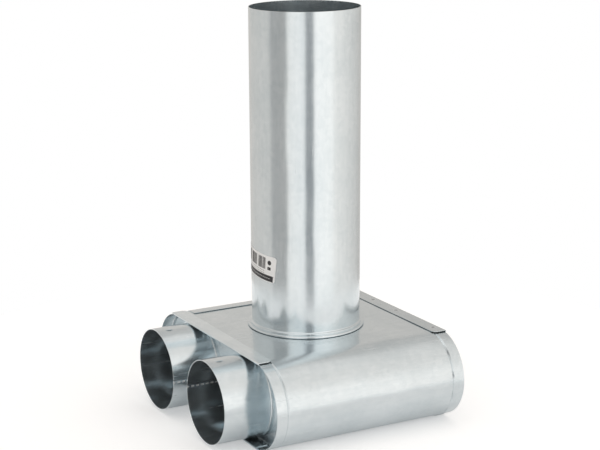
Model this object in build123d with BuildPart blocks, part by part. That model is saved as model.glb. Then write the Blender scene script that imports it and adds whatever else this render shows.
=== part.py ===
"""Ceiling air outlet: a flat plenum box of galvanised sheet with a tall round neck and two spigots.

Millimetres, +Z up. The origin is the centre of the neck's open mouth, so the box lies below it.
The spigots point along -Y and the box is widest along X. Each piece is one rolled or folded sheet.
"""

import os
from math import cos, degrees, radians, sin, sqrt

from build123d import *

# Sheet metal, and the play that lets one piece go into another
sheet = 0.7
fit_gap = 0.1

# Jacket of the box, a flat oval: the rims are measured from the neck's axis
casing_width = 300.0
casing_height = 100.0
rim_front = 119.0
rim_back = 121.0

# Rolled V grooves that stop the end plates, and the punch marks along the rear ones
groove_inset = 14.0
groove_depth = 0.9
stake_depth = 1.5
stake_shift = 0.7
stake_length = 9.0
stake_angles = (43.0, 12.0, -18.0, -46.0)

# Lap seam of the jacket, at the left of its top: its free edge lies a little way in from the round
seam_inset = 6.0
seam_wrap = 14.0
seam_joggle = 4.0
seam_lift = 0.4
seam_notch = 20.5

# End plates: a web, a flange inside the box and a hem folded back over the rim
hem_width = 17.5
hem_overhang = 10.0
hem_gap = 0.4
hem_corner = 6.0
bend_radius = 0.6
bend_relief = 1.5
plate_gap = 0.15
weld_diameter = 5.0
weld_depth = 0.35
weld_slope = 60.0
weld_setback = 6.0
rear_weld_x = (-88.0, -37.0, 15.0, 93.5)

# Neck: a tube with a stepped roll at its foot, and a flange turned out under the box's top
neck_diameter = 125.0
neck_height = 365.0
neck_shoulder_reach = 2.1
neck_shoulder_height = 5.4
neck_shoulder_fall = 0.5
neck_roll_reach = 5.0
neck_roll_height = 3.0
neck_roll_fall = 0.8
neck_flange = 4.5
neck_seam_angle = 150.0
neck_seam_width = 8.0
neck_seam_slope = 2.4

# Spigots: short tubes with a bead at the foot, and a flange turned out behind the front plate
spigot_diameter = 94.8
spigot_pitch = 130.0
spigot_reach = 43.7
spigot_bead_reach = 1.0
spigot_bead_height = 2.6
spigot_flange = 1.4
spigot_seam_width = 7.0
spigot_seam_step = 0.5
nib_angle = 84.0
nib_length = 9.0
nib_depth = 1.6
nib_setback = 15.0

# Paper label on the neck
label_width = 75.0
label_height = 30.0
label_corner = 3.0
label_paper = 0.15
label_glue = 0.1
label_angle = -98.5
label_above_box = 79.5
label_tilt = 5.5

# Places that follow from the sizes above
round_radius = casing_height / 2
flat_half = casing_width / 2 - round_radius
seam_x = seam_inset - flat_half
hem_half_length = flat_half + hem_overhang
top = -neck_height
axis_z = top - round_radius
bend_outer = bend_radius + sheet
recess = groove_inset + groove_depth + sheet * sqrt(2) - sheet
front_groove = groove_inset - rim_front
rear_groove = rim_back - groove_inset
front_face = recess - rim_front
neck_radius = neck_diameter / 2
spigot_radius = spigot_diameter / 2
mouth = -rim_front - spigot_reach


def save(piece, name):
    """Label a finished piece and write it to a file of its own."""
    piece.part.label = name
    export_step(piece.part, f"parts/{name}.step")


def across_round(side, angle):
    """Section plane through a rounded side, with Y as its first axis and the radius as its second."""
    a = radians(angle)
    return Plane(
        origin=(side * flat_half, 0, axis_z),
        x_dir=(0, 1, 0),
        z_dir=(sin(a), 0, -side * cos(a)),
    )


def press_grooves(side, places, depth, start, sweep):
    """Roll V grooves into a rounded side, from the start angle down: a ridge inside, a channel outside."""
    turn = Axis((side * flat_half, 0, axis_z), (0, side, 0))
    ridge_depth = depth + sheet * sqrt(2)
    with BuildSketch(across_round(side, start)) as ridge:
        with Locations(*[(y, round_radius) for y in places]):
            RegularPolygon(ridge_depth, 4)
        with Locations(*[(y, round_radius - sheet / 2) for y in places]):
            Rectangle(2 * ridge_depth, 2 * ridge_depth, align=(Align.CENTER, Align.MIN), mode=Mode.SUBTRACT)
    revolve(ridge.sketch, axis=turn, revolution_arc=sweep)
    with BuildSketch(across_round(side, start)) as channel:
        with Locations(*[(y, round_radius) for y in places]):
            RegularPolygon(depth, 4)
    revolve(channel.sketch, axis=turn, revolution_arc=sweep, mode=Mode.SUBTRACT)


def make_casing():
    """The jacket: one sheet wrapped to a flat oval, lapped and welded along the left of its top."""
    with BuildPart() as casing:
        with BuildSketch(Plane.XZ.offset(-rim_back)):
            with Locations((0, axis_z)):
                SlotOverall(casing_width, casing_height)
                SlotOverall(casing_width - 2 * sheet, casing_height - 2 * sheet, mode=Mode.SUBTRACT)
        extrude(amount=rim_front + rim_back)

        # the lap: its free edge stands a little off the sheet under it
        centre = Vector(-flat_half, axis_z)
        lap_end = centre + Vector(round_radius, 0).rotate(Axis.Z, 90 + seam_wrap + seam_joggle)
        with BuildSketch(Plane.XZ.offset(seam_notch - rim_back)):
            with BuildLine():
                Polyline(
                    (-flat_half, top - sheet / 2),
                    (-flat_half, top),
                    (seam_x, top + seam_lift),
                    (seam_x, top + seam_lift + sheet),
                    (-flat_half, top + sheet),
                )
                outside = CenterArc(centre, round_radius + sheet, 90, seam_wrap)
                inside = CenterArc(centre, round_radius - sheet / 2, 90, seam_wrap + seam_joggle)
                Polyline(outside @ 1, lap_end, inside @ 1)
            make_face()
        extrude(amount=rim_front + rim_back - 2 * seam_notch)

        with Locations((0, 0, top)):
            Hole(neck_radius + fit_gap, depth=2 * sheet)

        stake_sweep = degrees(stake_length / round_radius)
        for side in (-1, 1):
            press_grooves(side, (front_groove, rear_groove), groove_depth, 90, 180)
            for angle in stake_angles:
                start = angle + stake_sweep / 2
                press_grooves(side, (rear_groove + stake_shift,), stake_depth, start, stake_sweep)
    return casing


def make_end_plate(rim, outward, holes, weld_x):
    """One end plate. Its web stands in the box, and a hem grips the rim along the top and the bottom."""
    inner_top = top - sheet
    hem_radius = (sheet + hem_gap) / 2
    flange_half = flat_half - fit_gap
    web_radius = round_radius - sheet - plate_gap
    bend_start = round_radius - sheet - bend_outer
    web_back = rim - outward * (recess + sheet)
    hem_edge = fit_gap + hem_radius + sheet - hem_width
    outwards = Plane(origin=(0, rim, 0), x_dir=(0, outward, 0), z_dir=(outward, 0, 0))
    with BuildPart() as plate:
        # the hem, folded back over the rim
        with BuildSketch(outwards.offset(-hem_half_length)):
            with BuildLine():
                fold = ThreePointArc(
                    (fit_gap, inner_top),
                    (fit_gap + hem_radius, inner_top + hem_radius),
                    (fit_gap, inner_top + 2 * hem_radius),
                )
                Line(fold @ 1, (hem_edge, inner_top + 2 * hem_radius))
                offset(amount=sheet, side=Side.RIGHT)
            make_face()
        extrude(amount=2 * hem_half_length)
        free_corners = plate.edges().filter_by(Axis.Z).sort_by(Axis.Y, reverse=outward < 0)[:2]
        fillet(free_corners, hem_corner)

        # the flange, with the bend that joins it to the web
        with BuildSketch(outwards.offset(-flange_half)):
            with BuildLine():
                bend = CenterArc((bend_outer - recess - sheet, axis_z + bend_start), bend_outer, 180, -90)
                Line(bend @ 1, (fit_gap, inner_top))
                offset(amount=sheet, side=Side.RIGHT)
            make_face()
        extrude(amount=2 * flange_half)

        # spot welds dish the hem
        if weld_x:
            with BuildSketch(Plane.XY.offset(top + hem_gap + sheet)):
                with Locations(*[(x, rim - outward * weld_setback) for x in weld_x]):
                    RegularPolygon(weld_diameter / 2, 8)
            extrude(amount=-weld_depth, taper=weld_slope, mode=Mode.SUBTRACT)
        mirror(about=Plane.XY.offset(axis_z))

        # the web
        with BuildSketch(Plane.XZ.offset(-max(web_back, web_back + outward * sheet))):
            with Locations((0, axis_z)):
                SlotOverall(2 * (flat_half + web_radius), 2 * web_radius)
            for end in (-1, 1):
                with Locations((0, axis_z + end * (bend_start + bend_outer))):
                    Rectangle(2 * (flange_half + bend_relief), 2 * bend_outer, mode=Mode.SUBTRACT)
        extrude(amount=sheet)
        if holes:
            with Locations(*[(x, web_back, axis_z) for x in holes]):
                Cylinder(spigot_radius + fit_gap, 4 * sheet, rotation=(90, 0, 0), mode=Mode.SUBTRACT)
    return plate


def pipe_section(radius, length, bead, flange):
    """Section of a pipe, from its open end down to the sheet that it grips between a bead and a flange.

    The bead is a row of points, each with its reach from the wall and its height. The points give the
    outer skin, and the inner skin runs a sheet's thickness to its right, mitred at each corner.
    """
    skin = [Vector(radius, length)]
    skin += [Vector(radius + reach, height) for reach, height in bead]
    skin += [Vector(radius, 0), Vector(radius, -sheet), Vector(radius + flange, -sheet)]
    ways = [(end - start).normalized() for start, end in zip(skin, skin[1:])]
    inward = [Vector(way.Y, -way.X) for way in ways]
    mitres = [a + b for a, b in zip(inward[:1] + inward, inward + inward[-1:])]
    inner = [point + mitre * (2 * sheet / mitre.length**2) for point, mitre in zip(skin, mitres)]
    Polyline(*skin, *reversed(inner), close=True)


def make_neck():
    """The neck: a rolled tube with a welded lap, clamped in the top of the box."""
    roll = (
        (0, neck_shoulder_height),
        (neck_shoulder_reach, neck_shoulder_height - neck_shoulder_fall),
        (neck_shoulder_reach, neck_roll_height),
        (neck_roll_reach, neck_roll_height - neck_roll_fall),
        (neck_roll_reach, 0),
    )
    with BuildPart() as neck:
        with BuildSketch(Plane(origin=(0, 0, top), x_dir=(1, 0, 0), z_dir=(0, -1, 0))):
            with BuildLine():
                pipe_section(neck_radius, neck_height, roll, neck_flange)
            make_face()
        revolve(axis=Axis.Z)

        # the lap of the rolled sheet, down the back
        lap = degrees(neck_seam_width / neck_radius)
        slope = degrees(neck_seam_slope / neck_radius)
        lap_bottom = neck_shoulder_height + 2 * sheet
        with BuildSketch(Plane.XY.offset(top + lap_bottom)):
            with BuildLine():
                outside = CenterArc((0, 0), neck_radius + sheet, neck_seam_angle, lap)
                inside = CenterArc((0, 0), neck_radius - sheet / 2, neck_seam_angle, lap + slope)
                Line(outside @ 0, inside @ 0)
                Line(outside @ 1, inside @ 1)
            make_face()
        extrude(amount=neck_height - lap_bottom)
    return neck


def make_spigot(side):
    """One spigot: a rolled tube with a stitch-welded lap, clamped in the front plate, and a nib."""
    x = side * spigot_pitch / 2
    bead = ((0, spigot_bead_height), (spigot_bead_reach, spigot_bead_height / 2))
    length = front_face - mouth
    seam_length = length - spigot_bead_height - 2 * sheet
    seam_angle = 90 + side * 90
    with BuildPart() as spigot:
        with BuildSketch(Plane(origin=(x, front_face, axis_z), x_dir=(1, 0, 0), z_dir=(0, 0, -1))):
            with BuildLine():
                pipe_section(spigot_radius, length, bead, spigot_flange)
            make_face()
        revolve(axis=Axis((x, 0, axis_z), (0, -1, 0)))

        # the lap inside, on the side that faces the other spigot
        lap = degrees(spigot_seam_width / spigot_radius)
        bore = spigot_radius - sheet
        with BuildSketch(Plane.XZ.offset(-mouth - seam_length)):
            with BuildLine():
                outside = CenterArc((x, axis_z), bore + sheet / 2, seam_angle - lap / 2, lap)
                inside = CenterArc((x, axis_z), bore - spigot_seam_step, seam_angle - lap / 2, lap)
                Line(outside @ 0, inside @ 0)
                Line(outside @ 1, inside @ 1)
            make_face()
        extrude(amount=seam_length)

        # the nib: half of a pointed dish, cut along one side and pushed into the bore
        a = radians(nib_angle)
        radial = Plane(
            origin=(x, mouth + nib_setback, axis_z),
            x_dir=(0, 1, 0),
            z_dir=(sin(a), 0, -cos(a)),
        )
        push = Axis(radial.origin, radial.y_dir)
        slope = 2 * nib_depth / nib_length
        tip = spigot_radius - nib_depth
        lid = spigot_radius + nib_depth
        middle = spigot_radius - sheet / 2
        with BuildSketch(radial) as shell:
            Polygon(
                (0, tip - sheet),
                ((middle + sheet - tip) / slope, middle),
                (0, middle),
                align=None,
            )
        revolve(shell.sketch, axis=push, revolution_arc=180)
        with BuildSketch(radial) as hollow:
            Polygon((0, tip), ((lid - tip) / slope, lid), (0, lid), align=None)
        revolve(hollow.sketch, axis=push, revolution_arc=180, mode=Mode.SUBTRACT)
    return spigot


def make_label():
    """The paper label, wrapped round the neck and stuck on a little out of level."""
    a = radians(label_angle)
    with BuildPart() as label:
        with BuildSketch(Plane.XY.offset(top + label_above_box - label_height)):
            Circle(neck_radius + label_glue + label_paper)
            Circle(neck_radius + label_glue, mode=Mode.SUBTRACT)
        extrude(amount=2 * label_height)
        facing = Plane(
            origin=(0, 0, top + label_above_box),
            x_dir=(-sin(a), cos(a), 0),
            z_dir=(cos(a), sin(a), 0),
        )
        with BuildSketch(facing):
            RectangleRounded(label_width, label_height, label_corner, rotation=-label_tilt)
        extrude(amount=neck_diameter, mode=Mode.INTERSECT)
    return label


os.makedirs("parts", exist_ok=True)
save(make_casing(), "casing")
save(make_end_plate(-rim_front, -1, (-spigot_pitch / 2, spigot_pitch / 2), ()), "front_end_plate")
save(make_end_plate(rim_back, 1, (), rear_weld_x), "rear_end_plate")
save(make_neck(), "neck")
save(make_spigot(-1), "left_spigot")
save(make_spigot(1), "right_spigot")
save(make_label(), "neck_label")
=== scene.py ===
"""Ceiling air outlet in galvanised sheet: the looks of its box, end plates, neck, spigots and label."""

from math import atan2, ceil, cos, degrees, pi, radians, sin, sqrt

import bmesh
import bpy
from mathutils import Matrix, Vector


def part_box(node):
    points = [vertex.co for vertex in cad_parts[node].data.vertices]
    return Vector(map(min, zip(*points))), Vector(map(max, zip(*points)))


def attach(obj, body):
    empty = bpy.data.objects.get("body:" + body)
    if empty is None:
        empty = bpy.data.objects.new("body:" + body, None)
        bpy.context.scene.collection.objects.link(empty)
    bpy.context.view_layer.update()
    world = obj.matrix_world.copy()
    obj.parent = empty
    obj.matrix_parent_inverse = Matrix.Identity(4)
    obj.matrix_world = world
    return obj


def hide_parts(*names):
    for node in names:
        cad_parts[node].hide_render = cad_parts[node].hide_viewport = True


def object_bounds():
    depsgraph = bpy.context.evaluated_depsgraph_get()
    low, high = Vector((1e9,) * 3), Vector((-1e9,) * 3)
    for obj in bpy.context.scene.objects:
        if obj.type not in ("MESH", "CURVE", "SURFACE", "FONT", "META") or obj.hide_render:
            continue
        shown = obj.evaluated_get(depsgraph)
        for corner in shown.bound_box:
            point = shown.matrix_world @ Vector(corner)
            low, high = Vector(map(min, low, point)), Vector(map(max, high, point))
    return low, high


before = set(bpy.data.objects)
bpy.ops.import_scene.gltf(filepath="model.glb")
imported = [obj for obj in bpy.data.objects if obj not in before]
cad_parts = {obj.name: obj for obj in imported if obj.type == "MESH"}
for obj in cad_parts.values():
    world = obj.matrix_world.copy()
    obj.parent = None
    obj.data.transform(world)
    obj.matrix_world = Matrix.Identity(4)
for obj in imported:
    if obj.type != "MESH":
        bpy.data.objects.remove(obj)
cad_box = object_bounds()

# The jacket of the box: one galvanised sheet, wrapped to a flat oval and lapped at the left of its top.
# Its rounds have a rolled groove near each rim, with punch marks along the rear one.

mm = 0.001
sheet = 0.7 * mm
jacket_low, jacket_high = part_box("casing")
round_radius = 50 * mm
box_low = jacket_low[2]
axis_z = box_low + round_radius
box_top = axis_z + round_radius
flat_half = jacket_high[0] - round_radius
rim_front = jacket_low[1]
rim_back = jacket_high[1]
jacket_depth = rim_back - rim_front
round_steps = 48
groove_inset = 14 * mm
groove_depth = 0.9 * mm
groove_half = 1.5 * mm
groove_rings = 6
punch_angles = (43, 12, -18, -46)
punch_bruises = (0.6, 0.55, 0.2, 0.15)
punch_half = 6
punch_passes = 4
punch_depth = 1.1 * mm
lap_x = 6 * mm - flat_half
lap_wrap = 14
lap_joggle = 4
lap_lift = 0.4 * mm
lap_notch = 20.5 * mm
lap_root_sink = 0.98
lap_near = 0.1 * mm
neck_hole = 62.6 * mm
neck_hole_steps = 128
edge_round = 0.12 * mm
edge_steps = 2
edge_sharp = radians(50)
nearly = 0.02 * mm
nearly_turned = 0.01
smooth_angle = radians(28)


def add(primitive, name, location=(0, 0, 0), rotation=(0, 0, 0), **sizes):
    """Adds a primitive at its place, alone in the selection, and gives it its name."""
    bpy.ops.object.select_all(action="DESELECT")
    primitive(location=location, rotation=rotation, **sizes)
    piece = bpy.context.object
    piece.name = name
    piece.data.name = name
    return piece


def settle(piece):
    """Moves a piece's place and turn into its mesh, so that its object sits at the origin."""
    bpy.ops.object.select_all(action="DESELECT")
    piece.select_set(True)
    bpy.context.view_layer.objects.active = piece
    bpy.ops.object.transform_apply(location=True, rotation=True, scale=True)


def pick(kind, wanted):
    """In edit mode, selects only the vertices, edges or faces that pass the test, and says how many."""
    bpy.ops.mesh.select_mode(type=kind)
    bpy.ops.mesh.select_all(action="DESELECT")
    data = bpy.context.object.data
    mesh = bmesh.from_edit_mesh(data)
    parts = {"VERT": mesh.verts, "EDGE": mesh.edges, "FACE": mesh.faces}[kind]
    found = [part for part in parts if wanted(part)]
    for part in found:
        part.select_set(True)
    mesh.select_flush_mode()
    bmesh.update_edit_mesh(data)
    return len(found)


def middle(part):
    """The middle of an edge or a face."""
    return sum((corner.co for corner in part.verts), Vector()) / len(part.verts)


def cut(place, normal):
    """Cuts the whole mesh along a plane, with nothing taken away."""
    bpy.ops.mesh.select_all(action="SELECT")
    bpy.ops.mesh.bisect(plane_co=place, plane_no=normal)


def finish_with(piece, kind, **settings):
    """Gives a piece a modifier and applies it."""
    bpy.ops.object.select_all(action="DESELECT")
    piece.select_set(True)
    bpy.context.view_layer.objects.active = piece
    modifier = piece.modifiers.new(kind.lower(), kind)
    for setting, value in settings.items():
        setattr(modifier, setting, value)
    bpy.ops.object.modifier_apply(modifier=modifier.name)


def carve(piece, cutter):
    """Cuts one piece by another, which is used up."""
    finish_with(piece, "BOOLEAN", operation="DIFFERENCE", solver="EXACT", object=cutter)
    bpy.data.objects.remove(cutter)


def sheet_edges(piece):
    """Breaks the sharp edges of the sheet a little and smooths the rest."""
    finish_with(
        piece, "BEVEL", width=edge_round, segments=edge_steps, limit_method="ANGLE",
        angle_limit=edge_sharp, use_clamp_overlap=True, harden_normals=False,
    )
    bpy.ops.object.shade_smooth_by_angle(angle=smooth_angle)
    finish_with(piece, "WEIGHTED_NORMAL", keep_sharp=True, weight=100)


def round_angle(place):
    """How far round its own rounded side a place lies, in degrees above the level of the axis."""
    return degrees(atan2(place[2] - axis_z, abs(place[0]) - flat_half))


casing = add(
    bpy.ops.mesh.primitive_cube_add, "jacket", size=1,
    location=(0, (rim_front + rim_back) / 2, axis_z),
    scale=(2 * (flat_half + round_radius), jacket_depth, 2 * round_radius),
)
settle(casing)
bpy.ops.object.mode_set(mode="EDIT")
pick("FACE", lambda face: abs(face.normal.y) > 0.9)
bpy.ops.mesh.delete(type="FACE")
pick("EDGE", lambda edge: abs(edge.verts[0].co.y - edge.verts[1].co.y) > jacket_depth / 2)
bpy.ops.mesh.bevel(offset=round_radius, segments=round_steps // 2, profile=0.5, clamp_overlap=False)
bpy.ops.mesh.select_all(action="SELECT")
bpy.ops.mesh.remove_doubles(threshold=nearly)
bpy.ops.mesh.normals_make_consistent(inside=False)


def press_in(wanted, depth):
    """Moves the chosen vertices of the rounds straight towards the middle line of their round."""
    for side in (-1, 1):
        if pick("VERT", lambda v: side * v.co.x > flat_half - edge_round and wanted(v.co)):
            share = 1 - depth / round_radius
            bpy.ops.transform.resize(value=(share, 1, share), center_override=(side * flat_half, 0, axis_z))


# the grooves: rings of cuts across the rounds, pressed in by the shape of a half wave
for groove_y in (rim_front + groove_inset, rim_back - groove_inset):
    for ring in range(-groove_rings, groove_rings + 1):
        cut((0, groove_y + ring / groove_rings * groove_half, 0), (0, 1, 0))
    for ring in range(-groove_rings + 1, groove_rings):
        ring_y = groove_y + ring / groove_rings * groove_half
        ring_depth = groove_depth * (1 + cos(pi * ring / groove_rings)) / 2
        press_in(lambda place: abs(place.y - ring_y) < nearly, ring_depth)

# the punch marks, deeper towards their middles
punch_y = rim_back - groove_inset
for angle in punch_angles:
    for step in range(punch_passes):
        left = 1 - step / punch_passes
        press_in(
            lambda place: abs(place.y - punch_y) < groove_half * (1 + left) / 2
            and abs(round_angle(place) - angle) < punch_half * left,
            punch_depth / punch_passes,
        )

# the lap: a strip of the sheet doubled, its free edge standing off and its root set down on the round
lap_start = rim_front + lap_notch
lap_end = rim_back - lap_notch
for y in (lap_start, lap_end):
    cut((0, y, 0), (0, 1, 0))
cut((lap_x, 0, 0), (1, 0, 0))
for turn in (lap_wrap, lap_wrap + lap_joggle):
    cut((-flat_half, 0, axis_z), (cos(radians(turn)), 0, sin(radians(turn))))


def in_lap(place):
    """Whether a place lies where the sheet is doubled."""
    past_round = degrees(atan2(-flat_half - place[0], place[2] - axis_z))
    along = lap_start < place[1] < lap_end
    return along and place[2] > axis_z and place[0] < lap_x and past_round < lap_wrap + lap_joggle


pick("FACE", lambda face: in_lap(middle(face)))
bpy.ops.mesh.duplicate()
bpy.ops.transform.shrink_fatten(value=sheet)
above = box_top + sheet / 2
pick("VERT", lambda v: abs(v.co.x - lap_x) < lap_near and v.co.z > above)
bpy.ops.transform.translate(value=(0, 0, lap_lift))
root = radians(90 + lap_wrap + lap_joggle)
root_reach = round_radius + sheet
root_place = Vector((-flat_half + cos(root) * root_reach, 0, axis_z + sin(root) * root_reach))
pick("VERT", lambda v: abs(v.co.x - root_place.x) < lap_near and abs(v.co.z - root_place.z) < lap_near)
bpy.ops.transform.shrink_fatten(value=-sheet * lap_root_sink)
bpy.ops.object.mode_set(mode="OBJECT")
finish_with(casing, "SOLIDIFY", thickness=sheet, offset=-1, use_even_offset=True)
carve(
    casing,
    add(
        bpy.ops.mesh.primitive_cylinder_add, "cutter", vertices=neck_hole_steps,
        radius=neck_hole, depth=4 * sheet, location=(0, 0, box_top),
    ),
)
sheet_edges(casing)


class Wire:
    """The output of a shader node, which can stand in sums and products."""

    def __init__(self, recipe, socket):
        self.recipe = recipe
        self.socket = socket

    def __add__(self, other):
        return self.recipe.math("ADD", self, other)

    def __sub__(self, other):
        return self.recipe.math("SUBTRACT", self, other)

    def __rsub__(self, other):
        return self.recipe.math("SUBTRACT", other, self)

    def __mul__(self, other):
        return self.recipe.math("MULTIPLY", self, other)

    def __truediv__(self, other):
        return self.recipe.math("DIVIDE", self, other)

    def __rtruediv__(self, other):
        return self.recipe.math("DIVIDE", other, self)

    def __pow__(self, other):
        return self.recipe.math("POWER", self, other)

    __radd__ = __add__
    __rmul__ = __mul__


class Recipe:
    """A node tree in the making."""

    def __init__(self, tree):
        self.tree = tree
        tree.nodes.clear()

    def node(self, kind, settings, sockets, output=0):
        """Makes a node: first its settings, then the values or wires of its sockets."""
        made = self.tree.nodes.new(kind)
        for setting, value in settings.items():
            if setting == "stops":
                made.color_ramp.elements.remove(made.color_ramp.elements[1])
                made.color_ramp.elements[0].position = value[0][0]
                made.color_ramp.elements[0].color = value[0][1]
                for place, colour in value[1:]:
                    made.color_ramp.elements.new(place).color = colour
            elif setting == "blending":
                made.color_ramp.interpolation = value
            else:
                setattr(made, setting, value)
        for socket, value in sockets.items():
            if isinstance(value, Wire):
                self.tree.links.new(value.socket, made.inputs[socket])
            else:
                made.inputs[socket].default_value = value
        return Wire(self, made.outputs[output]) if len(made.outputs) else None

    def math(self, operation, *values):
        """A sum, product or the like of numbers and wires."""
        return self.node("ShaderNodeMath", {"operation": operation}, dict(enumerate(values)))

    def limited(self, value, low, high):
        """How far a value has come from low to high, from 0 to 1, with soft ends."""
        settings = {"interpolation_type": "SMOOTHSTEP"}
        return self.node("ShaderNodeMapRange", settings, {0: value, 1: low, 2: high})

    def mix(self, share, first, second):
        """A colour that goes from the first to the second as the share goes from 0 to 1."""
        return self.node("ShaderNodeMix", {"data_type": "RGBA"}, {0: share, 6: first, 7: second}, output=2)

    def stretched(self, place, stretch):
        """Coordinates stretched along each axis."""
        return self.node("ShaderNodeVectorMath", {"operation": "MULTIPLY"}, {0: place, 1: stretch})

    def along(self, place, direction):
        """How far a place lies along a direction."""
        settings = {"operation": "DOT_PRODUCT"}
        return self.node("ShaderNodeVectorMath", settings, {0: place, 1: direction}, output="Value")

    def noise(self, place, scale, detail=3, roughness=0.5):
        """Cloudy noise from 0 to 1."""
        sockets = {"Vector": place, "Scale": scale, "Detail": detail, "Roughness": roughness}
        return self.node("ShaderNodeTexNoise", {}, sockets)


def grey(level):
    """A colour with all its channels at one level."""
    return (level, level, level, 1)


zinc_light = (0.765, 0.82, 0.845, 1)
zinc_dark = (0.66, 0.725, 0.755, 1)
burnt_zinc = (0.82, 0.83, 0.83, 1)
# the colour of dark marks, and of the painted shade under the edges of the spigots' laps
dark_mark_and_shade_colour = (0.10, 0.105, 0.11, 1)
metal_share = 0.95
zinc_roughness = 0.18
along_rolling = 0.05
cloud_scale = 22
streak_scale = 900
band_scale = 160
smear_scale = 60
fleck_scale = 420
spangle_scale = 190
wave_scale = 14
wave_height = 1.2 * mm
grain_height = 0.004 * mm
cloud_share, streak_share, band_share, spangle_share = 0.45, 0.25, 0.2, 0.1
shade_limits = (0.3, 0.7)
smear_limits = (0.55, 0.75)
fleck_limits = (0.70, 0.76)
cloud_dulling = 0.10
streak_dulling = 0.08
smear_dulling = 0.10
fleck_dulling = 0.15
mark_dulling = 0.3
dark_mark_and_shade_cover = 0.85


def galvanised(name, rolling, tone=1, marks=None):
    """Galvanised steel sheet: cloudy zinc with faint spangles, rolled streaks, smears and shallow waves.

    The marks, where a piece has any, are two masks: burnt dull zinc at its welds, and a dark mask: dark
    zinc in dishes and dents, painted shade under the spigots' laps.
    """
    material = bpy.data.materials.new(name)
    material.use_nodes = True
    recipe = Recipe(material.node_tree)
    place = recipe.node("ShaderNodeTexCoord", {}, {}, output="Object")
    streak_place = recipe.stretched(place, [along_rolling if axis == rolling else 1 for axis in "XYZ"])
    clouds = recipe.noise(place, cloud_scale, detail=4)
    streaks = recipe.noise(streak_place, streak_scale, detail=4, roughness=0.6)
    bands = recipe.noise(streak_place, band_scale, detail=2)
    smears = recipe.noise(streak_place, smear_scale, detail=6, roughness=0.7)
    smears = recipe.limited(smears, *smear_limits)
    flecks = recipe.limited(recipe.noise(streak_place, fleck_scale, detail=2), *fleck_limits)
    sockets = {"Vector": place, "Scale": spangle_scale}
    cells = recipe.node("ShaderNodeTexVoronoi", {}, sockets, output="Color")
    spangle = recipe.node("ShaderNodeSeparateColor", {}, {0: cells})
    shade = clouds * cloud_share + streaks * streak_share + bands * band_share + spangle * spangle_share
    dark = (*[tone * channel for channel in zinc_dark[:3]], 1)
    light = (*[tone * channel for channel in zinc_light[:3]], 1)
    colour = recipe.mix(recipe.limited(shade, *shade_limits), dark, light)
    dull = zinc_roughness + (clouds - 0.5) * cloud_dulling + (streaks - 0.5) * streak_dulling
    dull = dull + smears * smear_dulling + flecks * fleck_dulling
    if marks:
        burnt, darkening = marks(recipe, place)
        # the dark mask: dark marks in weld dishes and punch marks, and painted shade under the spigots'
        # laps
        colour = recipe.mix(darkening * dark_mark_and_shade_cover, recipe.mix(burnt, colour, burnt_zinc), dark_mark_and_shade_colour)
        dull = dull + burnt * mark_dulling + darkening * mark_dulling
    waves = recipe.noise(place, wave_scale, detail=1)
    skin = recipe.node("ShaderNodeBump", {}, {"Strength": 1, "Distance": wave_height, "Height": waves})
    grain = streaks + spangle * 0.5 - flecks
    fine = recipe.node(
        "ShaderNodeBump", {}, {"Strength": 1, "Distance": grain_height, "Height": grain, "Normal": skin},
    )
    shader = recipe.node(
        "ShaderNodeBsdfPrincipled", {},
        {"Base Color": colour, "Metallic": metal_share, "Roughness": dull, "Normal": fine},
    )
    recipe.node("ShaderNodeOutputMaterial", {}, {"Surface": shader})
    return material


def coat(piece, material):
    """Gives a piece or a node of the frame one material all over."""
    for place in range(max(1, len(piece.data.materials))):
        if piece.data.materials:
            piece.material_slots[place].material = material
        else:
            piece.data.materials.append(material)


def punch_marks(recipe, place):
    """The bruised zinc in the punch marks of the rear groove."""
    across, back, height = [recipe.along(place, axis) for axis in ((1, 0, 0), (0, 1, 0), (0, 0, 1))]
    turn = recipe.math("ARCTAN2", height - axis_z, recipe.math("ABSOLUTE", across) - flat_half)
    from_groove = recipe.math("ABSOLUTE", back - punch_y)
    in_groove = 1 - recipe.limited(from_groove, groove_half * 0.4, groove_half)
    bruise = 0
    for angle, share in zip(punch_angles, punch_bruises):
        away = recipe.math("ABSOLUTE", turn - radians(angle))
        bruise = bruise + share * (1 - recipe.limited(away, radians(punch_half * 0.1), radians(punch_half)))
    return 0, bruise * in_groove


coat(casing, galvanised("casing sheet", "Y", marks=punch_marks))
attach(casing, "root")
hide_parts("casing")

# The two end plates: flat webs of the same sheet, set back in the box, their top and bottom edges bent out
# to the rims and folded back over the jacket as hems. The front one has holes for the spigots, and the rear
# one is spot-welded through its hems.

hem_half = 110 * mm
hem_width = 17.5 * mm
hem_gap = 0.4 * mm
hem_corner = 6 * mm
hem_corner_steps = 10
bend_radius = 0.6 * mm
bend_steps = 5
fold_steps = 10
flange_setback = 0.3 * mm
flange_half = flat_half - flange_setback
bend_relief = 1.5 * mm
web_gap = 0.15 * mm
web_radius = round_radius - sheet - web_gap
web_back = groove_inset + groove_depth + sheet * sqrt(2)
fold_start = 0.1 * mm
spigot_holes = (-65 * mm, 65 * mm)
spigot_hole_radius = 47.5 * mm
weld_x = (-88 * mm, -37 * mm, 15 * mm, 93.5 * mm)
weld_setback = 6 * mm
weld_radius = 2.6 * mm
weld_depth = 0.4 * mm
weld_halo = 4.2 * mm
weld_burn = 0.6
weld_grime = 0.65
front_tone = 1.12
rear_tone = 0.90
hole_sides = 144
dish_sides = 24
dish_rings = 80


def hem_path():
    """The skin that faces the jacket: from the web round the bend, out to the rim and back as the hem.

    Each point is how far it stands out of the rim and how high it is above the box's axis.
    """
    inner_top = round_radius - sheet
    bend = bend_radius + sheet
    fold = (sheet + hem_gap) / 2
    path = []
    for step in range(bend_steps + 1):
        t = radians(180 - 90 * step / bend_steps)
        path.append(Vector((bend * (1 + cos(t)) - web_back, inner_top - bend + bend * sin(t))))
    for step in range(fold_steps + 1):
        t = radians(180 * step / fold_steps - 90)
        path.append(Vector((fold_start + fold * cos(t), inner_top + fold + fold * sin(t))))
    path.append(Vector((fold_start + fold + sheet - hem_width, inner_top + 2 * fold)))
    return path


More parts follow.
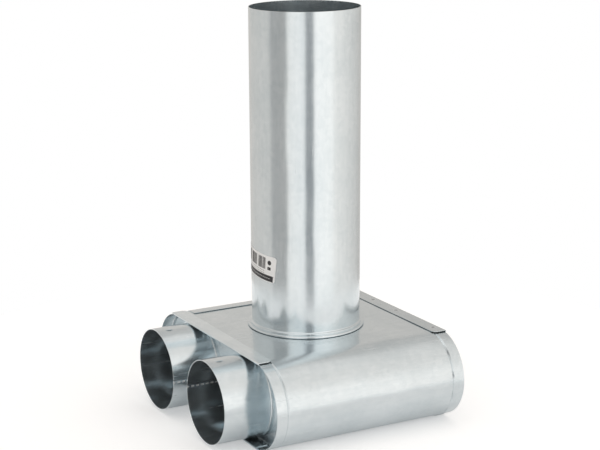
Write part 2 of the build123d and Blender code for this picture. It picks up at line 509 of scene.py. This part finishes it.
def fold_plate(name, rim, outward):
    """Cuts and folds one end plate of sheet that stands square to Y."""
    path = hem_path()
    plate = add(
        bpy.ops.mesh.primitive_plane_add, name, size=1,
        location=(0, rim - outward * web_back, axis_z), rotation=(pi / 2, 0, 0),
    )
    plate.scale = (2 * (flat_half + web_radius), 2 * web_radius, 1)
    settle(plate)
    bpy.ops.object.mode_set(mode="EDIT")
    pick("VERT", lambda v: True)
    bpy.ops.mesh.bevel(
        affect="VERTICES", offset=web_radius, segments=round_steps // 2, profile=0.5, clamp_overlap=False,
    )
    bpy.ops.mesh.select_all(action="SELECT")
    bpy.ops.mesh.remove_doubles(threshold=nearly)
    relief = flange_half + bend_relief
    for x in (-relief, -flange_half, flange_half, relief):
        cut((x, 0, 0), (1, 0, 0))
    bend_level = path[0].y
    for end in (-1, 1):
        cut((0, 0, axis_z + end * bend_level), (0, 0, 1))
    pick("FACE", lambda face: abs(middle(face).z - axis_z) > bend_level and abs(middle(face).x) < relief)
    bpy.ops.mesh.delete(type="FACE")
    for end in (-1, 1):
        pick(
            "EDGE",
            lambda edge: all(abs(v.co.z - axis_z - end * bend_level) < nearly for v in edge.verts)
            and all(abs(v.co.x) < flange_half + nearly for v in edge.verts),
        )
        for here, there in zip(path, path[1:]):
            step = there - here
            bpy.ops.mesh.extrude_region_move(
                TRANSFORM_OT_translate={"value": (0, outward * step.x, end * step.y)},
            )

    # the hem runs past the flange at both ends, and its free corners are rounded
    def in_hem(place):
        """Whether a place lies in the fold or the hem."""
        return outward * (place.y - rim) > fold_start - nearly or abs(place.z - axis_z) > round_radius

    for side in (-1, 1):
        pick(
            "EDGE",
            lambda edge: all(
                abs(v.co.x - side * flange_half) < nearly and in_hem(v.co) for v in edge.verts
            ),
        )
        bpy.ops.mesh.extrude_region_move(
            TRANSFORM_OT_translate={"value": (side * (hem_half - flange_half), 0, 0)},
        )
    free_edge = rim + outward * path[-1].x
    pick("VERT", lambda v: abs(abs(v.co.x) - hem_half) < nearly and abs(v.co.y - free_edge) < nearly)
    bpy.ops.mesh.bevel(
        affect="VERTICES", offset=hem_corner, segments=hem_corner_steps, profile=0.5, clamp_overlap=False,
    )
    bpy.ops.mesh.select_all(action="SELECT")
    bpy.ops.mesh.normals_make_consistent(inside=False)
    pick("FACE", lambda face: abs(face.normal.y) > 0.99 and face.normal.y * outward > 0)
    if bmesh.from_edit_mesh(plate.data).faces[0].select:
        bpy.ops.mesh.select_all(action="SELECT")
        bpy.ops.mesh.flip_normals()
    bpy.ops.object.mode_set(mode="OBJECT")
    finish_with(plate, "SOLIDIFY", thickness=sheet, offset=-1, use_even_offset=True)
    return plate


def finish_plate(plate, node, tone, marks=None):
    """Smooths a plate and lets it stand for its node."""
    sheet_edges(plate)
    coat(plate, galvanised(plate.name, "X", tone, marks))
    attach(plate, "root")
    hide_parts(node)


front_plate = fold_plate("front_plate", rim_front, -1)
for x in spigot_holes:
    carve(
        front_plate,
        add(
            bpy.ops.mesh.primitive_cylinder_add, "cutter", vertices=hole_sides, radius=spigot_hole_radius,
            depth=6 * sheet, location=(x, rim_front + web_back, axis_z), rotation=(pi / 2, 0, 0),
        ),
    )
finish_plate(front_plate, "front_end_plate", front_tone)

# the spot welds of the rear plate dish its hems
rear_plate = fold_plate("rear_plate", rim_back, 1)
dish_radius = (weld_radius**2 + weld_depth**2) / (2 * weld_depth)
hem_skin = round_radius + hem_gap + sheet
for x in weld_x:
    for end in (-1, 1):
        carve(
            rear_plate,
            add(
                bpy.ops.mesh.primitive_uv_sphere_add, "cutter",
                segments=dish_sides, ring_count=dish_rings, radius=dish_radius,
                location=(x, rim_back - weld_setback, axis_z + end * (hem_skin + dish_radius - weld_depth)),
            ),
        )


def weld_marks(recipe, place):
    """A dull ring round each spot weld, and its dark dish."""
    across, back = [recipe.along(place, axis) for axis in ((1, 0, 0), (0, 1, 0))]
    burnt = 0
    darkening = 0
    for x in weld_x:
        away = recipe.math("SQRT", (across - x) ** 2 + (back - (rim_back - weld_setback)) ** 2)
        burnt = burnt + (1 - recipe.limited(away, weld_radius, weld_halo))
        darkening = darkening + (1 - recipe.limited(away, weld_radius * 0.6, weld_radius))
    return burnt * weld_burn, darkening * weld_grime


finish_plate(rear_plate, "rear_end_plate", rear_tone, weld_marks)

# The neck: a sheet rolled to a tube and lap-welded down its back, made to take a ceiling valve of 125 mm.
# A stepped roll at its foot sits on the box, and a flange turned out under the box's top clamps it there.

neck_radius = 62.5 * mm
neck_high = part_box("neck")[1][2]
neck_sides = 168
roll_reach = 5 * mm
step_reach = 2.1 * mm
neck_flange = 4.5 * mm
neck_lap_angle = 150
neck_lap_width = 8 * mm
neck_lap_slope = 2.4 * mm
neck_lap_foot = 7.5 * mm
neck_lap_sink = 0.97
# the foot's corners: how far out of the tube, how high above the sheet it sits on, and how much is rounded
neck_foot = (
    (0, 5.8 * mm, 0.9 * mm),
    (step_reach, 5.1 * mm, 0.9 * mm),
    (step_reach - 0.15 * mm, 3.0 * mm, 0.3 * mm),
    (roll_reach, 2.9 * mm, 1.8 * mm),
    (roll_reach, 0.55 * mm, 0.5 * mm),
    (roll_reach - 2 * mm, 0.5 * mm, 0.4 * mm),
    (roll_reach - 2.4 * mm, 0, 0),
    (0, 0, 0.2 * mm),
    (0, -sheet, 0.3 * mm),
    (neck_flange, -sheet, 0),
)


def rounded(corners, steps=6):
    """An outline through corners of radius, height and rounding, each one cut by a curve."""
    outline = []
    for number, (radius, height, cut_back) in enumerate(corners):
        corner = Vector((radius, height))
        if not cut_back:
            outline.append(corner)
            continue
        start = corner + (Vector(corners[number - 1][:2]) - corner).normalized() * cut_back
        end = corner + (Vector(corners[number + 1][:2]) - corner).normalized() * cut_back
        for step in range(steps + 1):
            t = step / steps
            outline.append(start * (1 - t) ** 2 + corner * 2 * t * (1 - t) + end * t**2)
    return outline


def roll_tube(name, radius, length, foot, sides):
    """Draws the skin of a tube down from its mouth, ring by ring, standing on Z, and stays in edit mode."""
    corners = [(radius + reach, height, cut_back) for reach, height, cut_back in foot]
    outline = rounded([(radius, length, 0)] + corners)
    tube = add(
        bpy.ops.mesh.primitive_circle_add, name, vertices=sides, radius=radius, location=(0, 0, length),
    )
    settle(tube)
    bpy.ops.object.mode_set(mode="EDIT")
    bpy.ops.mesh.select_mode(type="VERT")
    bpy.ops.mesh.select_all(action="SELECT")
    for above, below in zip(outline, outline[1:]):
        bpy.ops.mesh.extrude_region_move(TRANSFORM_OT_translate={"value": (0, 0, below.y - above.y)})
        share = below.x / above.x
        bpy.ops.transform.resize(value=(share, share, 1), center_override=(0, 0, below.y))
    bpy.ops.mesh.select_all(action="SELECT")
    bpy.ops.mesh.normals_make_consistent(inside=False)
    return tube


def turned(place, angle):
    """How far a place has turned about Z past an angle, in degrees from -180 to 180."""
    return (degrees(atan2(place[1], place[0])) - angle + 180) % 360 - 180


def cut_along(angle):
    """Cuts a standing tube by a plane through its axis."""
    cut((0, 0, 0), (-sin(radians(angle)), cos(radians(angle)), 0))


neck = roll_tube("neck_tube", neck_radius, neck_high - box_top, neck_foot, neck_sides)
bpy.ops.object.mode_set(mode="OBJECT")
finish_with(neck, "SOLIDIFY", thickness=sheet, offset=-1, use_even_offset=True)

# the lap: a strip of the outer skin raised, one edge square and the other run out
lap_turn = degrees(neck_lap_width / neck_radius)
slope_turn = degrees(neck_lap_slope / neck_radius)
bpy.ops.object.mode_set(mode="EDIT")
for angle in (neck_lap_angle, neck_lap_angle + lap_turn, neck_lap_angle + lap_turn + slope_turn):
    cut_along(angle)
cut((0, 0, neck_lap_foot), (0, 0, 1))


def on_neck_lap(face):
    """Whether a face of the neck's outer skin lies in the lap."""
    place = middle(face)
    outside = place.xy.length > neck_radius - sheet / 2
    return outside and place.z > neck_lap_foot and 0 < turned(place, neck_lap_angle) < lap_turn + slope_turn


pick("FACE", on_neck_lap)
bpy.ops.mesh.extrude_region_shrink_fatten(TRANSFORM_OT_shrink_fatten={"value": sheet})
pick(
    "VERT",
    lambda v: v.co.xy.length > neck_radius + sheet / 2 and v.co.z > neck_lap_foot - nearly
    and turned(v.co, neck_lap_angle) > lap_turn + slope_turn / 2,
)
share = 1 - neck_lap_sink * sheet / (neck_radius + sheet)
bpy.ops.transform.resize(value=(share, share, 1), center_override=(0, 0, 0))
bpy.ops.object.mode_set(mode="OBJECT")
neck.location.z = box_top
settle(neck)
sheet_edges(neck)
coat(neck, galvanised("neck sheet", "Z"))
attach(neck, "root")
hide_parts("neck")

# The two spigots: short rolled tubes, stitch-welded along the side where they face each other.
# A bead and a flange grip the front plate between them, and a nib pressed in near the mouth stops the duct.

spigot_radius = 47.4 * mm
spigot_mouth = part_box("left_spigot")[0][1]
spigot_x = {"left_spigot": -65 * mm, "right_spigot": 65 * mm}
spigot_lap_at = {"left_spigot": -3, "right_spigot": 175}
front_face = rim_front + groove_inset + groove_depth + sheet * (sqrt(2) - 1)
spigot_length = front_face - spigot_mouth
spigot_sides = 144
spigot_foot = (
    (0, 2.9 * mm, 0.5 * mm),
    (1.1 * mm, 1.9 * mm, 0.6 * mm),
    (0, 0.8 * mm, 0.3 * mm),
    (0, -sheet, 0.3 * mm),
    (1.4 * mm, -sheet, 0),
)
spigot_lap_width = 5.4 * mm
spigot_lap_step = 0.5 * mm
spigot_lap_foot = 4.5 * mm
nib_angle = 84
nib_from_mouth = 15 * mm
nib_half = 4.5 * mm
nib_reach = 3.4 * mm
nib_depth = 2.0 * mm
nib_passes = 8
nib_grid = 0.45 * mm
nib_clear = 1 * mm
# how wide the painted shade under the edge of a spigot's lap is
lap_painted_shade = 0.5 * mm
stitch_pitch = 6 * mm
stitch_count = 8
stitch_size = (2.2 * mm, 1.1 * mm, 0.45 * mm)
stitch_sink = 0.1 * mm
dent_sides = 20
dent_rings = 12


def press_nib():
    """In edit mode, slits a standing spigot near its mouth and pushes one lip of the slit into the bore."""
    level = spigot_length - nib_from_mouth
    turn_per_metre = degrees(1 / spigot_radius)

    def near(place, margin):
        """Whether a place lies in or near the patch that the press reaches."""
        across = -turned(place, nib_angle) / turn_per_metre
        return abs(place.z - level) < nib_half + margin and -margin < across < nib_reach + margin

    for height in (level - nib_half - nib_clear, level + nib_half + nib_clear):
        cut((0, 0, height), (0, 0, 1))
    cuts = ceil(nib_half / nib_grid)
    for number in range(-cuts, cuts + 1):
        pick("FACE", lambda face: near(middle(face), 2 * nib_clear))
        bpy.ops.mesh.bisect(plane_co=(0, 0, level + number / cuts * nib_half), plane_no=(0, 0, 1))
    for number in range(ceil(nib_reach / nib_grid) + 1):
        angle = radians(nib_angle - number * nib_grid * turn_per_metre)
        pick("FACE", lambda face: near(middle(face), 2 * nib_clear))
        bpy.ops.mesh.bisect(plane_co=(0, 0, 0), plane_no=(-sin(angle), cos(angle), 0))
    slit_half = nib_half - nib_grid + nearly

    def in_slit(v):
        """Whether a vertex lies on the line of the slit."""
        return abs(turned(v.co, nib_angle)) < nearly_turned and abs(v.co.z - level) < slit_half

    pick("EDGE", lambda edge: all(in_slit(v) for v in edge.verts))
    bpy.ops.mesh.edge_split(type="EDGE")
    for step in range(nib_passes):
        left = 1 - step / nib_passes

        def pushed(v):
            """Whether this pass of the press reaches a vertex of the lip."""
            along = (v.co.z - level) / nib_half
            across = turned(v.co, nib_angle) / turn_per_metre / nib_reach
            lip = all(turned(middle(face), nib_angle) < 0 for face in v.link_faces)
            return lip and along**2 + across**2 < left**2

        pick("VERT", pushed)
        inward = Vector((cos(radians(nib_angle)), sin(radians(nib_angle)), 0)) * -nib_depth / nib_passes
        bpy.ops.transform.translate(value=inward)


def stitch_marks(recipe, place, x, weld_turn):
    """The pale nuggets of a spigot's stitch weld, and painted shade: a dark band in the corner under the
    edge of its lap.
    """
    side = 1 if cos(weld_turn) > 0 else -1
    across, outward, height = [recipe.along(place, axis) for axis in ((side, 0, 0), (0, -1, 0), (0, 0, 1))]
    level = outward + (front_face - spigot_lap_foot)
    from_axis = height - axis_z - sin(weld_turn) * spigot_radius
    beside = recipe.limited(across - side * x, spigot_radius * 0.7, spigot_radius * 0.9)
    beside = beside * recipe.limited(level, 0, stitch_pitch / 2)
    from_stitch = recipe.math("PINGPONG", level, stitch_pitch / 2)
    nuggets = (1 - recipe.limited(from_stitch, stitch_size[0] * 0.7, stitch_size[0])) * (
        1 - recipe.limited(recipe.math("ABSOLUTE", from_axis), stitch_size[1] * 0.7, stitch_size[1])
    )
    # painted shade: a dark band along the edge of the lap, where the lap's step would shade the skin
    from_edge = recipe.math("ABSOLUTE", from_axis - spigot_lap_width / 2)
    corner = 1 - recipe.limited(from_edge, lap_painted_shade * 0.6, lap_painted_shade * 1.4)
    return nuggets * beside, corner * beside


for name, x in spigot_x.items():
    spigot = roll_tube(name + "_tube", spigot_radius, spigot_length, spigot_foot, spigot_sides)
    press_nib()
    bpy.ops.object.mode_set(mode="OBJECT")
    finish_with(spigot, "SOLIDIFY", thickness=sheet, offset=-1, use_even_offset=True)

    # the lap: a strip of the inner skin raised
    half_turn = degrees(spigot_lap_width / spigot_radius) / 2
    lap_angle = spigot_lap_at[name]
    bpy.ops.object.mode_set(mode="EDIT")
    for angle in (lap_angle - half_turn, lap_angle + half_turn):
        cut_along(angle)
    cut((0, 0, spigot_lap_foot), (0, 0, 1))
    pick(
        "FACE",
        lambda face: middle(face).xy.length < spigot_radius - sheet / 2
        and middle(face).z > spigot_lap_foot
        and middle(face).xy.dot(face.normal.xy) < -0.5 * middle(face).xy.length
        and abs(turned(middle(face), lap_angle)) < half_turn,
    )
    bpy.ops.mesh.extrude_region_shrink_fatten(TRANSFORM_OT_shrink_fatten={"value": spigot_lap_step})
    bpy.ops.object.mode_set(mode="OBJECT")

    # the stitch weld: a row of small dents in both skins
    bpy.ops.object.select_all(action="DESELECT")
    dents = []
    for number in range(stitch_count):
        stitch_level = spigot_lap_foot + (number + 1) * stitch_pitch
        for skin in (spigot_radius + stitch_sink, spigot_radius - sheet - spigot_lap_step - stitch_sink):
            dent = add(
                bpy.ops.mesh.primitive_uv_sphere_add, "dent",
                segments=dent_sides, ring_count=dent_rings, radius=1,
                location=(cos(radians(lap_angle)) * skin, sin(radians(lap_angle)) * skin, stitch_level),
            )
            dent.scale = (stitch_size[2], stitch_size[1], stitch_size[0])
            settle(dent)
            dents.append(dent)
    for dent in dents:
        dent.select_set(True)
    bpy.ops.object.join()
    carve(spigot, bpy.context.object)
    spigot.rotation_euler.x = pi / 2
    spigot.location = (x, front_face, axis_z)
    settle(spigot)
    sheet_edges(spigot)
    weld_turn = radians(lap_angle)
    steel = galvanised(
        name + " sheet", "Y", marks=lambda recipe, place: stitch_marks(recipe, place, x, weld_turn),
    )
    coat(spigot, steel)
    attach(spigot, "root")
    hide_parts(name)

# The label: white paper wrapped round the neck and stuck on a little out of level.
# Its print is plain fields: bars, fine rules, a small mark and a dark band along the bottom.

label_angle = radians(-98.5)
label_tilt = radians(5.5)
label_middle = box_top + 79.5 * mm
paper_white = (0.95, 0.95, 0.945, 1)
paper_shade = (0.88, 0.88, 0.87, 1)
ink = (0.02, 0.02, 0.023, 1)
ink_radius = neck_radius + 0.25 * mm
band_low, band_high = -14.2 * mm, -7.3 * mm
band_ends = (-39 * mm, 37.6 * mm)
bars_low, bars_high = -1.2 * mm, 12.2 * mm
bars_ends = (-37 * mm, 25 * mm)
bar_pitch = 2.3 * mm
rules = (-3.4 * mm, -5.9 * mm)
rule_half = 0.38 * mm
mark_along = 31 * mm
mark_dot = 7.5 * mm
mark_dot_radius = 2.7 * mm
mark_bar = (-1.0 * mm, 2.6 * mm)
mark_half = 2.4 * mm
dash_pitch = 3.1 * mm
dash_ends = (-24 * mm, 34 * mm)
fine_ends = (-37 * mm, 24 * mm)
dash_paleness = 0.75
fine_ink = 0.7
gap_pitch = 17 * mm
gap_shift = 1.0
bar_mixing = 7.3
print_edge = 0.12 * mm
paper_grain = 900
paper_clouds = 60
paper_height = 0.02 * mm
paper_roughness = 0.42

paper = bpy.data.materials.new("label paper")
paper.use_nodes = True
recipe = Recipe(paper.node_tree)
place = recipe.node("ShaderNodeTexCoord", {}, {}, output="Object")
facing = Vector((cos(label_angle), sin(label_angle), 0))
aside = Vector((-sin(label_angle), cos(label_angle), 0))


def inside(value, low, high):
    """A mask that is 1 where a value lies between two limits."""
    return recipe.limited(value, low - print_edge, low + print_edge) * (
        1 - recipe.limited(value, high - print_edge, high + print_edge)
    )


wrapped = recipe.math("ARCTAN2", recipe.along(place, aside), recipe.along(place, facing)) * ink_radius
level_up = recipe.along(place, (0, 0, 1)) - label_middle
across = wrapped * cos(label_tilt) - level_up * sin(label_tilt)
height = wrapped * sin(label_tilt) + level_up * cos(label_tilt)
band = inside(across, *band_ends) * inside(height, band_low, band_high)
band_middle = (band_low + band_high) / 2
band_rule = inside(height, band_middle - rule_half, band_middle + rule_half)
dashes = recipe.limited(recipe.math("SINE", across * (2 * pi / dash_pitch)), -0.5, -0.2)
band = band * (1 - band_rule * dashes * inside(across, *dash_ends) * dash_paleness)
bar_number = recipe.node("ShaderNodeCombineXYZ", {}, {0: recipe.math("FLOOR", across / bar_pitch)})
bar_width = recipe.noise(bar_number, bar_mixing)
bar_place = recipe.math("PINGPONG", across, bar_pitch / 2) / (bar_pitch / 2)
gaps = recipe.limited(recipe.math("SINE", across * (2 * pi / gap_pitch) + gap_shift), -0.93, -0.8)
bars = recipe.limited(bar_width * 1.5 - bar_place, -0.05, 0.05) * gaps
bars = bars * inside(across, *bars_ends) * inside(height, bars_low, bars_high)
fine = 0
for rule in rules:
    fine = fine + inside(height, rule - rule_half, rule + rule_half)
fine = fine * dashes * inside(across, *fine_ends) * fine_ink
from_dot = recipe.math("SQRT", (across - mark_along) ** 2 + (height - mark_dot) ** 2)
dot = inside(from_dot, -mark_dot_radius, mark_dot_radius)
block = inside(across, mark_along - mark_half, mark_along + mark_half) * inside(height, *mark_bar)
mark = dot + block
printed = recipe.math("MINIMUM", band + bars + fine + mark, 1)
worn = recipe.noise(place, paper_grain, detail=3)
clouds = recipe.noise(place, paper_clouds, detail=4)
shade = recipe.mix(recipe.limited(clouds, 0.35, 0.75), paper_white, paper_shade)
colour = recipe.mix(printed * recipe.limited(worn, 0.15, 0.4), shade, ink)
relief = worn - printed * 0.3
grain = recipe.node("ShaderNodeBump", {}, {"Strength": 1, "Distance": paper_height, "Height": relief})
dull = paper_roughness + worn * 0.12
shader = recipe.node(
    "ShaderNodeBsdfPrincipled", {}, {"Base Color": colour, "Roughness": dull, "Normal": grain},
)
recipe.node("ShaderNodeOutputMaterial", {}, {"Surface": shader})
coat(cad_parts["neck_label"], paper)

# The studio: a plain pale floor that the box stands on, and round it a world like a room of soft screens.
# The floor looks white to the camera and to the metal, a little brighter towards its rim, and the camera
# stands where the photograph was taken.

floor_reach = 0.56
floor_sides = 128
floor_grey = 0.86
camera_glow = 0.34
near_glow = 0.12
rim_glow = 0.2
rim_from = 0.54
rim_to = 0.73
floor = add(
    bpy.ops.mesh.primitive_circle_add, "floor", vertices=floor_sides, radius=floor_reach,
    fill_type="NGON", location=(0, 0, cad_box[0][2]),
)
settle(floor)
material = bpy.data.materials.new("pale floor")
material.use_nodes = True
recipe = Recipe(material.node_tree)
camera_ray = recipe.node("ShaderNodeLightPath", {}, {}, output="Is Camera Ray")
glossy_ray = recipe.node("ShaderNodeLightPath", {}, {}, output="Is Glossy Ray")
matt = recipe.node("ShaderNodeBsdfDiffuse", {}, {"Color": grey(floor_grey)})
spot = recipe.node("ShaderNodeTexCoord", {}, {}, output="Object")
from_mouth = recipe.node("ShaderNodeVectorMath", {"operation": "LENGTH"}, {0: spot}, output="Value")
mirrored_glow = recipe.limited(from_mouth, rim_from, rim_to) * rim_glow + near_glow
strength = camera_ray * camera_glow + glossy_ray * mirrored_glow
glow = recipe.node("ShaderNodeEmission", {}, {"Color": grey(1), "Strength": strength})
both = recipe.node("ShaderNodeAddShader", {}, {0: matt, 1: glow})
recipe.node("ShaderNodeOutputMaterial", {}, {"Surface": both})
coat(floor, material)

camera_place = Vector((1.567494, -0.879415, 0.190936))
camera_yaw = radians(61.885)
camera_pitch = radians(16.053)
camera_roll = radians(-0.524)
focal_pixels = 1612.676
picture_width = 600
picture_height = 450
picture_centre = (273.71, 290.121)
ahead = Vector((-sin(camera_yaw), cos(camera_yaw), 0))
forward = ahead * cos(camera_pitch) - Vector((0, 0, sin(camera_pitch)))
level = Vector((cos(camera_yaw), sin(camera_yaw), 0))
upward = level.cross(forward)
right = level * cos(camera_roll) + upward * sin(camera_roll)
up = upward * cos(camera_roll) - level * sin(camera_roll)

camera_data = bpy.data.cameras.new("camera")
camera = bpy.data.objects.new("camera", camera_data)
bpy.context.collection.objects.link(camera)
bpy.context.scene.camera = camera
camera_data.sensor_width = 36
camera_data.lens = focal_pixels / picture_width * camera_data.sensor_width
camera_data.shift_x = (picture_width / 2 - picture_centre[0]) / picture_width
camera_data.shift_y = (picture_centre[1] - picture_height / 2) / picture_width
camera_turn = Matrix((right, up, -forward)).transposed().to_4x4()
camera.matrix_world = Matrix.Translation(camera_place) @ camera_turn

# the world's light: each screen stands some degrees to the right of the way back to the camera, and the
# lights overhead go by how high they stand, from 0 at the level of the eye to 1 straight up. Both then give
# a brightness and a warmth. On the right the screens reach higher.
world = bpy.data.worlds.new("studio")
bpy.context.scene.world = world
world.use_nodes = True
recipe = Recipe(world.node_tree)
way = recipe.node("ShaderNodeTexCoord", {}, {}, output="Generated")
compass = recipe.math("ARCTAN2", recipe.along(way, level), recipe.along(way, -ahead)) / (2 * pi) + 0.5
screens = (
    (-180, 0.64, 1.06), (-80, 0.70, 1.05), (-73, 0.46, 1.03), (-41, 0.45, 1.04), (-37, 1.02, 1.04),
    (-2, 1.04, 1.02), (1, 0.35, 0.98), (15, 0.36, 0.98), (19, 1.17, 1.03), (55, 1.15, 1.04),
    (64, 0.98, 1.05), (92, 0.86, 1.05), (120, 0.72, 1.05), (148, 0.57, 1.05), (168, 0.56, 1.05),
    (180, 0.62, 1.06),
)


def tinted(light, warmth):
    """The colour of a light, warmer than white or cooler."""
    return (light * warmth, light, light / warmth, 1)


sides = recipe.node(
    "ShaderNodeValToRGB",
    {
        "stops": [(angle / 360 + 0.5, tinted(light, warmth)) for angle, light, warmth in screens],
        "blending": "LINEAR",
    },
    {0: compass},
)
height = recipe.along(way, (0, 0, 1))
overhead = (
    (0.30, 0.66, 1.05), (0.5, 0.48, 1.04), (0.78, 0.58, 1.04), (0.92, 1.10, 1.03), (1, 1.6, 1.02),
)
ceiling_limits = (0.35, 0.75)
right_limits = (-0.1, 0.6)
right_share = 0.8
ceiling = recipe.node(
    "ShaderNodeValToRGB",
    {
        "stops": [(rise, tinted(light, warmth)) for rise, light, warmth in overhead],
        "blending": "EASE",
    },
    {0: height},
)
to_right = recipe.limited(recipe.along(way, level), *right_limits)
above = recipe.limited(height, *ceiling_limits) * (1 - to_right * right_share)
seen = recipe.mix(above, sides, ceiling)
camera_ray = recipe.node("ShaderNodeLightPath", {}, {}, output="Is Camera Ray")
room = recipe.mix(camera_ray, seen, grey(1))
backdrop = recipe.node("ShaderNodeBackground", {}, {"Color": room, "Strength": 1})
recipe.node("ShaderNodeOutputWorld", {}, {"Surface": backdrop})

bpy.context.scene.view_settings.view_transform = "Standard"
